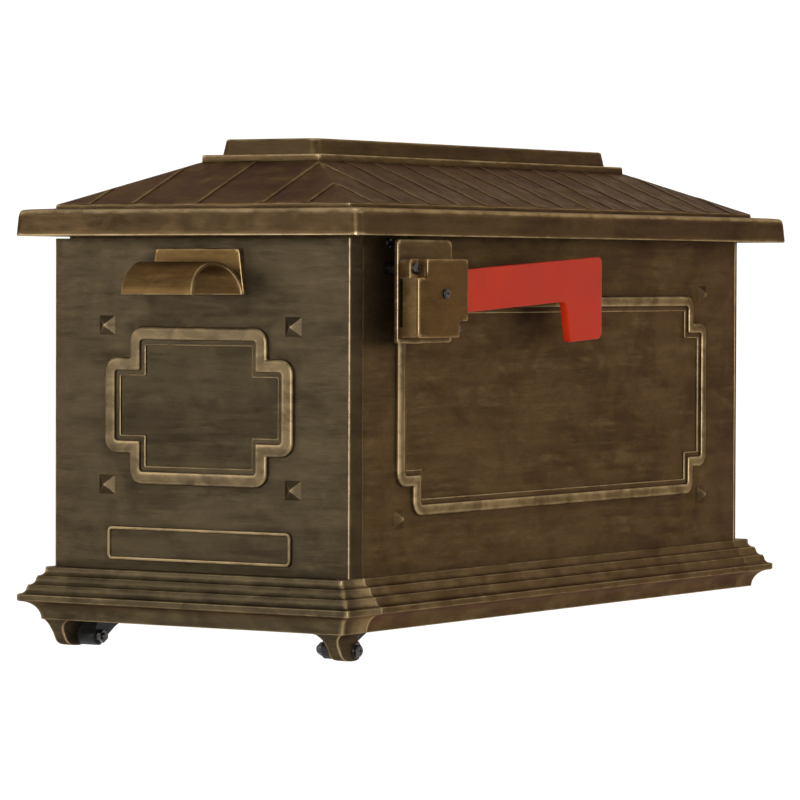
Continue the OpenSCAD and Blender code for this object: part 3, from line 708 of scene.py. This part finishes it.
def make_side(s, name, node, material):
    """Side wall; s is 1 on the right and -1 on the left."""
    side = Casting()
    x0, x1 = half_w - WALL, half_w
    outline = [(x0, side_front), (x1, side_front, 0.6), (x1, side_rear, 0.6), (x0, side_rear)]
    levels = steps(BASE_TOP - WALL, BASE_TOP - 0.1, 4) + steps(BASE_TOP + 2, wall_top, 5)
    wall = [(s * x, y, -0.2 if y < side_front + 2 else 0) for x, y, _ in divide(soften(outline, 0.4), 5)]
    add_upright(side, wall, levels)
    add_straight_moulding(side, s, side_front, side_rear)
    add_raised_frame(side, on_side(s, *SIDE_MID), SIDE_WIDE, SIDE_TALL, SIDE_BEAD)
    for y, z in SIDE_STUDS:
        add_stud(side, on_side(s, y, z), 12.5, 4.2)

    # Rail that the floor plate rests on, and the flange that the back is screwed to
    add_side_block(side, s, 107.5, 124, (side_front + 4, side_rear), (-3.5, 0))
    add_side_block(side, s, 104, x0 + 0.5, (side_rear - 4, side_rear), (BASE_TOP + 4, roof_low.z - 0.8))
    side.piece(name, "box", material, node, side_painted_shade)


def make_back(material):
    back = Casting()
    outline = [(-half_w, rear_y - WALL), (half_w, rear_y - WALL),
               (half_w, rear_y, 1.2), (-half_w, rear_y, 1.2)]
    levels = steps(BASE_TOP - WALL, BASE_TOP - 0.1, 4) + steps(BASE_TOP + 2, wall_top, 5)
    add_upright(back, divide(soften(outline, 0.4), 5), levels)
    add_moulding(back, "rear", rear_y - WALL, REAR_LEDGE)
    back.piece("back_casting", "box", material, "back_panel", back_painted_shade)


def make_handle(material):
    """Barrel-vault hood on a back plate."""
    handle = Casting()
    plate = [(-HANDLE_HW, 0), (HANDLE_HW, 0), (HANDLE_TOP_HW, HANDLE_H), (-HANDLE_TOP_HW, HANDLE_H)]
    lean = (HANDLE_HW - HANDLE_TOP_HW) / HANDLE_H
    add_slab(handle, plate, on_door(0, HANDLE_Z), 0, HOOD_T, 0.8, 2.0, 2.0, 0)
    a = (HOOD_D - 1) / 2
    centre = -1 - a

    def arch(half_d, height):
        turns = [math.radians(t) for t in range(0, 181, 6)]
        return [(centre + half_d * math.cos(r), height * math.sin(r)) for r in turns]

    section = arch(a, HOOD_H) + arch(a - HOOD_T, HOOD_H - HOOD_T + 0.4)[::-1]
    mid = arch(a - HOOD_T / 2, HOOD_H - HOOD_T / 2 + 0.2)
    ring = soften(section, 0.9, 2.0)

    def wide(y):
        return HANDLE_HW + (HOOD_TIP_HW - HANDLE_HW) * min(1.0, max(0.0, -y / HOOD_D))

    def shrink(y, z, by):
        """Moves a section point towards the shell's middle line."""
        goal = min(mid, key=lambda m: (m[0] - y) ** 2 + (m[1] - z) ** 2)
        gap = math.dist(goal, (y, z))
        k = min(1.0, by / gap) if gap > 1e-6 else 0
        return y + (goal[0] - y) * k, z + (goal[1] - z) * k

    table = []
    end = [(1, 0.0, 0.9, 0.6), (1, 0.3, 0.3, 1), (1, 0.9, 0.0, 0.55)]
    middle = [(share, 0, 0, 0) for share in (-0.93, -0.5, 0, 0.5, 0.93)]
    for share, e, edge, w in [(-1, *row[1:]) for row in end[::-1]] + middle + end:
        row = []
        for y, z, c in ring:
            v, u = shrink(y, z, e)
            half = wide(y) - edge - lean * max(0.0, z)
            row.append((share * half, face_y + v, HANDLE_Z + u, max(w, c, 0.12)))
        table.append(row)
    handle.grid(table, wrap_cols=True, cap_rows=True)
    handle.piece("handle_casting", "door", material, "door_handle")


# Upright plane with u along +Y, v along +Z and h along +X
SIDE_PLANE = Place((0, 0, 0), (0, 1, 0), (1, 0, 0))


def make_housing(material):
    housing = Casting()
    y0, y1 = housing_low.y, housing_high.y
    z0, z1 = housing_low.z, housing_high.z
    x0, x1 = housing_low.x, housing_high.x
    seat, cover = x1 - 6.9, x1 - 2
    cut_y, cut_z = 11.0, 12.4
    face = [(y1 - cut_y, z0, 1.2), (y1 - cut_y, z0 + cut_y, 3.5), (y1, z0 + cut_y, 1.5), (y1, z1, 2.5),
            (y0 + cut_y, z1, 1.0), (y0 + cut_y, z1 - cut_z, 2.0), (y0, z1 - cut_z, 1.2), (y0, z0, 2.5)]
    add_slab(housing, face, SIDE_PLANE, cover, x1, 0.9, 2.2, 0.9, 0)
    front = [(y0, z0, 2.5), (y0 + 3, z0 + 3), (y0 + 3, z1 - cut_z), (y0, z1 - cut_z, 1.2)]
    # The front wall is rubbed light all over, which also serves as a painted highlight for the light that
    # this front-facing wall catches
    add_slab(housing, front, SIDE_PLANE, x0 + 2, cover + 0.02, 0.0, 0, 0.3, 0.3, tone=0.5)
    foot = [(y0, z0, 2.5), (y1 - cut_y, z0, 1.2), (y1 - cut_y, z0 + 3, 0.3), (y0 + 3, z0 + 3, 0.3)]
    add_slab(housing, foot, SIDE_PLANE, x0, cover + 0.02, 0.0, 0, 0.3, 0.3)

    # Posts under the two fixing screws, and the walls of the pockets that the screws sit in
    front_post = [(y0, z1 - 13), (y0 + 11, z1 - 13), (y0 + 11, z1, 1.2), (y0, z1, 2.5)]
    rear_post = [(y1 - 11, z0, 0.6), (y1, z0, 2.5), (y1, z0 + 11, 1.0), (y1 - 11, z0 + 11, 0.6)]
    for post in (front_post, rear_post):
        add_slab(housing, post, SIDE_PLANE, x0, seat, 0.5, 0, 0.4, 0)
    for wall in (rectangle(y0 + 11, z1 - 14, y0 + 12.2, z1 - 0.3),
                 rectangle(y0 + 0.2, z1 - 13.6, y0 + 12, z1 - cut_z),
                 rectangle(y1 - 12.2, z0 + 0.3, y1 - 11, z0 + 12.2),
                 rectangle(y1 - 12.2, z0 + 11, y1 - 0.4, z0 + 12.2)):
        add_slab(housing, wall, SIDE_PLANE, seat - 1, cover + 0.02, 0.0, 0, 0.2, 0)

    # Pads on the back plate, above and below the slot that the flag swings through
    for pad0, pad1 in ((z0 + 0.4, BASE_FOOT + 201), (BASE_FOOT + 233, z1 - 5)):
        add_block(housing, (x0, y0 + 0.15, pad0), (x0 + 2.4, y0 + 3, pad1), 0.25)
    housing.piece("flag_housing_cover", "box", material, "flag_housing", housing_painted_shade)


def make_back_plate(material):
    plate = Casting()
    y0, y1, z0, z1 = plate_low.y, plate_high.y, plate_low.z, plate_high.z
    outline = [(y0, z0, 2.0), (y1, z0, 3.0), (y1, z1, 4.5), (y0, z1, 3.0)]
    add_slab(plate, outline, SIDE_PLANE, plate_low.x, plate_high.x, 0.7, 2.5, 0.7, 0.5)
    plate.piece("flag_bracket_plate", "box", material, "flag_back_plate")


def make_flag(material):
    """Moulded arm and tab, with a fine parting ridge round its edge."""
    flag = Casting()
    h = 14.4
    hub_end = [math.radians(t) for t in range(90, 271, 12)]
    outline = [(h * math.cos(t), h * math.sin(t)) for t in hub_end]
    outline += [(159.5, -h, 3.0), (162.3, -h - 3, 1.0), (166.3, -41.5, 1.6), (168.3, -43, 1.6),
                (207.5, -43, 3.0), (210.8, -40, 3.0), (213.5, h - 3, 2.2), (211, h, 2.2)]
    place = Place((0, FLAG_Y, FLAG_Z), (0, math.cos(FLAG_TILT), math.sin(FLAG_TILT)), (1, 0, 0))
    x0 = flag_high.x - 5.6
    add_slab(flag, outline, place, x0, flag_high.x, 0.9, 2.0, 0.9, 0.8, 0.18)

    # Hub behind the arm, with the pivot's bore
    hub_r, bore_r, sides = 10, 2.1, 40
    angles = [2 * math.pi * k / sides for k in range(sides)]
    table = []
    for r, x in ((bore_r, x0 - 4.4), (hub_r - 0.4, x0 - 4.4), (hub_r, x0 - 4.0), (hub_r, x0 + 0.5),
                 (bore_r, x0 + 0.5)):
        table.append([(x, FLAG_Y + r * math.cos(a), FLAG_Z + r * math.sin(a), 0) for a in angles])
    flag.grid(table, wrap_rows=True, wrap_cols=True)
    flag.piece("signal_flag", "flag", material, "flag")


# ---- materials ---------------------------------------------------------------------------

class Shader:
    """Short names for making and joining a material's nodes."""

    def __init__(self, name, roughness=0.5, metallic=0.0):
        self.material = bpy.data.materials.new(name)
        self.material.use_nodes = True
        self.nodes = self.material.node_tree.nodes
        self.links = self.material.node_tree.links
        self.surface = self.nodes["Principled BSDF"]
        self.surface.inputs["Roughness"].default_value = roughness
        self.surface.inputs["Metallic"].default_value = metallic
        self.place = self.add("ShaderNodeTexCoord").outputs["Object"]

    def add(self, kind, **settings):
        node = self.nodes.new(kind)
        for key, value in settings.items():
            setattr(node, key, value)
        return node

    def put(self, socket, value):
        if hasattr(value, "is_output"):
            self.links.new(value, socket)
        else:
            socket.default_value = value

    def noise(self, stretch, detail=4.0, rough=0.55, warp=0.0):
        """Noise whose cells are about 1 / stretch metres along each axis."""
        mapping = self.add("ShaderNodeMapping")
        self.put(mapping.inputs["Vector"], self.place)
        mapping.inputs["Scale"].default_value = stretch
        node = self.add("ShaderNodeTexNoise")
        node.inputs["Scale"].default_value = 1.0
        node.inputs["Detail"].default_value = detail
        node.inputs["Roughness"].default_value = rough
        node.inputs["Distortion"].default_value = warp
        self.links.new(mapping.outputs["Vector"], node.inputs["Vector"])
        return node.outputs["Fac"]

    def attribute(self, label):
        return self.add("ShaderNodeAttribute", attribute_name=label).outputs["Fac"]

    def math(self, operation, a, b=0.0, clamp=False):
        node = self.add("ShaderNodeMath", operation=operation, use_clamp=clamp)
        self.put(node.inputs[0], a)
        self.put(node.inputs[1], b)
        return node.outputs[0]

    def span(self, value, low, high, to_low=0.0, to_high=1.0):
        node = self.add("ShaderNodeMapRange", interpolation_type="SMOOTHSTEP")
        self.put(node.inputs["Value"], value)
        for key, number in (("From Min", low), ("From Max", high), ("To Min", to_low), ("To Max", to_high)):
            self.put(node.inputs[key], number)
        return node.outputs["Result"]

    def mix(self, share, a, b, blend="MIX"):
        node = self.add("ShaderNodeMix", data_type="RGBA", blend_type=blend)
        self.put(node.inputs[0], share)
        for socket, value in ((node.inputs[6], a), (node.inputs[7], b)):
            self.put(socket, value if hasattr(value, "is_output") else (*value, 1.0))
        return node.outputs[2]

    def colour(self, value):
        self.put(self.surface.inputs["Base Color"], value)

    def rough(self, value):
        self.put(self.surface.inputs["Roughness"], value)

    def bump(self, height, strength, depth, under=None):
        node = self.add("ShaderNodeBump")
        node.inputs["Strength"].default_value = strength
        node.inputs["Distance"].default_value = depth
        self.put(node.inputs["Height"], height)
        if under is not None:
            self.links.new(under, node.inputs["Normal"])
        self.links.new(node.outputs["Normal"], self.surface.inputs["Normal"])
        return node.outputs["Normal"]


def bronze(name, dark, mid, light, gold, rub=1.0):
    """Bronze coat with a mottled, lightly brushed patina, rubbed on arrises and dark in corners, and
    darkened further where shade is painted in.

    dark, mid and light are the patina's colours, gold the metal that rubbing shows, and rub
    how far it has gone.
    """
    s = Shader(name, metallic=0.8)
    s.surface.inputs["Specular IOR Level"].default_value = 0.25
    s.surface.inputs["Specular Tint"].default_value = (0.5, 0.36, 0.22, 1)
    cloud = s.noise((15, 15, 20), 5, 0.62, 0.8)
    patch = s.noise((55, 55, 85), 5, 0.65, 0.5)
    streak = s.noise((14, 14, 150), 5, 0.66, 0.35)
    fine = s.noise((110, 110, 900), 3, 0.6)
    grain = s.noise((900, 900, 900), 2, 0.6)
    colour = s.mix(s.span(cloud, 0.36, 0.64), dark, mid)
    bright = s.math("MULTIPLY", s.span(patch, 0.42, 0.72), s.span(streak, 0.38, 0.66), True)
    colour = s.mix(bright, colour, light)
    colour = s.mix(s.span(streak, 0.36, 0.7, 0.0, 0.28), colour, [c * 1.5 for c in mid])
    colour = s.mix(s.span(fine, 0.4, 0.75, 0.0, 0.3), colour, [c * 0.6 for c in dark])
    wear = s.attribute("wear")
    # Painted shade, from the painted-shade attribute and from wear below 0 on flat roof faces, darkens the
    # colour here, together with dark patina in the hollows
    hollow_patina_and_shade = s.math("MULTIPLY", s.math("MINIMUM", wear, 0.0), -0.8)
    shade_and_patina_depth = s.math("MAXIMUM", s.attribute("painted_shade"), hollow_patina_and_shade)
    shade_and_patina_mask = s.math("MULTIPLY", shade_and_patina_depth, s.span(patch, 0.25, 0.7, 0.4, 0.95), True)
    colour = s.mix(shade_and_patina_mask, colour, [c * 0.4 for c in dark])
    uneven = s.span(patch, 0.3, 0.7, 0.55 * rub, 1.05 * rub)
    rubbed = s.math("MULTIPLY", s.math("MAXIMUM", wear, 0.0), uneven, True)
    rubbed = s.span(rubbed, 0.12, 1.0)
    colour = s.mix(rubbed, colour, gold)
    s.colour(colour)
    rough = s.math("ADD", s.span(patch, 0.3, 0.7, 0.34, 0.5), s.math("MULTIPLY", shade_and_patina_mask, 0.2))
    s.rough(s.math("SUBTRACT", rough, s.math("MULTIPLY", rubbed, 0.15)))
    first = s.bump(grain, 0.3, 0.0001)
    s.bump(fine, 0.2, 0.00004, first)
    return s.material


def flag_red():
    s = Shader("flag_red", 0.38)
    s.surface.inputs["Specular IOR Level"].default_value = 0.08
    s.surface.inputs["Specular Tint"].default_value = (1.0, 0.4, 0.2, 1)
    cloud = s.noise((30, 30, 30), 3)
    grain = s.noise((1500, 1500, 1500), 2)
    s.colour(s.mix(s.span(cloud, 0.3, 0.7), (0.27, 0.013, 0.002), (0.305, 0.016, 0.003)))
    s.rough(s.span(cloud, 0.3, 0.7, 0.33, 0.45))
    s.bump(grain, 0.12, 0.00008)
    return s.material


def black_nylon():
    s = Shader("black_nylon", 0.45)
    s.surface.inputs["Specular IOR Level"].default_value = 0.15
    cloud = s.noise((120, 120, 120), 3)
    grain = s.noise((1800, 1800, 1800), 2)
    s.colour(s.mix(s.span(cloud, 0.3, 0.7), (0.006, 0.006, 0.006), (0.014, 0.013, 0.012)))
    s.rough(s.span(cloud, 0.3, 0.7, 0.36, 0.55))
    s.bump(grain, 0.2, 0.0001)
    return s.material


def metal(name, dark, light, low, high, stretch):
    """Bare metal drawn or rolled along one axis; low and high are its roughness."""
    s = Shader(name, metallic=0.95)
    streak = s.noise(stretch, 3)
    cloud = s.noise((90, 90, 90), 3)
    s.colour(s.mix(s.span(cloud, 0.3, 0.7), dark, light))
    s.rough(s.span(streak, 0.3, 0.7, low, high))
    s.bump(streak, 0.15, 0.00006)
    return s.material


def magnet():
    s = Shader("magnet", 0.55, 0.3)
    grain = s.noise((1400, 1400, 1400), 3)
    s.colour(s.mix(s.span(grain, 0.3, 0.7), (0.05, 0.05, 0.053), (0.09, 0.09, 0.095)))
    s.bump(grain, 0.3, 0.0001)
    return s.material


def pale_stage():
    s = Shader("stage_paper", 0.9)
    cloud = s.noise((0.6, 0.6, 0.6), 2)
    s.colour(s.mix(cloud, (0.86, 0.86, 0.86), (0.88, 0.88, 0.88)))
    s.surface.inputs["Emission Color"].default_value = (1, 1, 1, 1)
    s.surface.inputs["Emission Strength"].default_value = 0.22
    return s.material


# ---- stage, light and camera -------------------------------------------------------------

# In metres. The floor is low enough for a mailbox that hangs free on its post.
FLOOR_Z = -1.6
FLOOR_R = 6.0
BEND_R = 2.0
WALL_TOP_Z = 4.8


def make_stage():
    """Pale floor that curves up into a wall all round, far enough out for every view."""
    profile = [(0.02, FLOOR_Z), (3.0, FLOOR_Z), (5.5, FLOOR_Z)]
    for t in range(0, 91, 10):
        a = math.radians(t)
        profile.append((FLOOR_R + BEND_R * math.sin(a), FLOOR_Z + BEND_R * (1 - math.cos(a))))
    profile.append((FLOOR_R + BEND_R, WALL_TOP_Z))
    turns = 72
    points, faces = [], []
    for r, z in profile:
        for k in range(turns):
            a = 2 * math.pi * k / turns
            points.append((r * math.cos(a), r * math.sin(a), z))
    for i in range(len(profile) - 1):
        for k in range(turns):
            n = (k + 1) % turns
            faces.append((i * turns + k, i * turns + n, (i + 1) * turns + n, (i + 1) * turns + k))
    faces.append(list(range(turns)))
    mesh = bpy.data.meshes.new("stage")
    mesh.from_pydata(points, [], faces)
    mesh.polygons.foreach_set("use_smooth", [True] * len(mesh.polygons))
    mesh.materials.append(pale_stage())
    obj = bpy.data.objects.new("stage", mesh)
    bpy.context.scene.collection.objects.link(obj)


# Name, azimuth and elevation in degrees, distance, size in metres, and power in watts
LIGHTS = [("key", 29, 4, 2.8, (0.9, 0.8), 34),
          ("left_fill", -34, 8, 3.0, (1.1, 1.2), 17),
          ("strip", 19, 8, 2.6, (0.16, 1.0), 14),
          ("right_rear", 118, 14, 3.2, (1.6, 1.6), 9),
          ("top", 20, 80, 2.8, (2.0, 2.0), 20)]
LIGHT_TARGET = Vector((0, 0, 0.13))
AMBIENT = 0.75


def soft_light(name, azimuth, elevation, distance, size, power):
    a, e = math.radians(azimuth), math.radians(elevation)
    back = Vector((math.sin(a) * math.cos(e), -math.cos(a) * math.cos(e), math.sin(e)))
    light = bpy.data.lights.new(name, "AREA")
    light.shape = "RECTANGLE"
    light.size, light.size_y = size
    light.energy = power
    obj = bpy.data.objects.new(name, light)
    obj.location = LIGHT_TARGET + back * distance
    obj.rotation_mode = "QUATERNION"
    obj.rotation_quaternion = back.to_track_quat("Z", "Y")
    obj.visible_camera = False
    bpy.context.scene.collection.objects.link(obj)


def make_light():
    world = bpy.data.worlds.new("studio")
    world.use_nodes = True
    world.node_tree.nodes["Background"].inputs["Color"].default_value = (1, 1, 1, 1)
    world.node_tree.nodes["Background"].inputs["Strength"].default_value = AMBIENT
    bpy.context.scene.world = world
    for row in LIGHTS:
        soft_light(*row)


# Azimuth, elevation and roll in degrees, and lengths in metres
CAMERA_TURN = (32.5, 1.61, 0.2)
CAMERA_TARGET = Vector((0, 0, 0.1262))
CAMERA_DISTANCE = 3.1694
CAMERA_ACROSS, CAMERA_UPWARD = -0.00948, 0.00743
CAMERA_LENS = 197.895


def make_camera():
    yaw, pitch, roll = [math.radians(t) for t in CAMERA_TURN]
    back = Vector((math.sin(yaw) * math.cos(pitch), -math.cos(yaw) * math.cos(pitch), math.sin(pitch)))
    right = Vector((math.cos(yaw), math.sin(yaw), 0))
    up = back.cross(right)
    across = right * math.cos(roll) + up * math.sin(roll)
    upward = up * math.cos(roll) - right * math.sin(roll)
    data = bpy.data.cameras.new("camera")
    data.sensor_width = 36
    data.lens = CAMERA_LENS
    camera = bpy.data.objects.new("camera", data)
    camera.location = CAMERA_TARGET + back * CAMERA_DISTANCE
    camera.location += across * CAMERA_ACROSS + upward * CAMERA_UPWARD
    turn = Matrix((across, upward, back)).transposed()
    camera.rotation_mode = "QUATERNION"
    camera.rotation_quaternion = turn.to_quaternion()
    bpy.context.scene.collection.objects.link(camera)
    bpy.context.scene.camera = camera


# ---- the scene ---------------------------------------------------------------------------

SMALL_HARDWARE = ("screw", "nut", "washer")
SMALL_BEVEL, LARGE_BEVEL = 0.00018, 0.0005


def finish_hardware(materials):
    """Rounds the edges of the CAD nodes that are shown and gives each its material."""
    slots = {row["node"]: row["material_slot"] for row in frame["record"]["subparts"]}
    for name, obj in frame["nodes"].items():
        if obj.hide_render:
            continue
        obj.data.materials.clear()
        obj.data.materials.append(materials[slots[name]])
        small = any(word in name for word in SMALL_HARDWARE)
        obj.modifiers.new("weld", "WELD").merge_threshold = 1e-6
        flat = obj.modifiers.new("flat", "DECIMATE")
        flat.decimate_type = "DISSOLVE"
        flat.angle_limit = math.radians(1)
        bevel = obj.modifiers.new("edges", "BEVEL")
        bevel.width = SMALL_BEVEL if small else LARGE_BEVEL
        bevel.segments = 2
        bevel.limit_method = "ANGLE"
        bevel.angle_limit = math.radians(35)
        obj.modifiers.new("normals", "WEIGHTED_NORMAL")


def make_materials():
    """The record's material slots, each with its Blender material."""
    body = bronze("bronze_finish", (0.040, 0.0245, 0.0105), (0.067, 0.0425, 0.0185),
                  (0.10, 0.066, 0.030), (0.31, 0.225, 0.12))
    door = bronze("door_finish", (0.028, 0.020, 0.0112), (0.046, 0.0335, 0.0185),
                  (0.072, 0.053, 0.028), (0.23, 0.165, 0.085))
    gilt = bronze("gilt_finish", (0.056, 0.031, 0.0105), (0.090, 0.051, 0.018),
                  (0.13, 0.078, 0.029), (0.32, 0.22, 0.105), 0.8)
    steel = metal("steel", (0.035, 0.033, 0.031), (0.075, 0.072, 0.068), 0.16, 0.3, (900, 900, 90))
    bare = metal("bare_aluminium", (0.42, 0.42, 0.42), (0.52, 0.52, 0.52), 0.3, 0.5, (500, 30, 500))
    return {"bronze_finish": body, "door_finish": door, "gilt_finish": gilt, "flag_red": flag_red(),
            "bare_aluminium": bare, "steel": steel, "black_nylon": black_nylon(), "magnet": magnet()}


def main():
    bpy.context.scene.view_settings.view_transform = "Standard"
    materials = make_materials()
    body, gilt = materials["bronze_finish"], materials["gilt_finish"]
    make_roof(body)
    make_door(materials["door_finish"])
    make_side(-1, "left_side_casting", "left_side_panel", body)
    make_side(1, "right_side_casting", "right_side_panel", body)
    make_back(body)
    make_handle(gilt)
    make_housing(gilt)
    make_back_plate(body)
    make_flag(materials["flag_red"])
    finish_hardware(materials)
    make_stage()
    make_light()
    make_camera()


main()
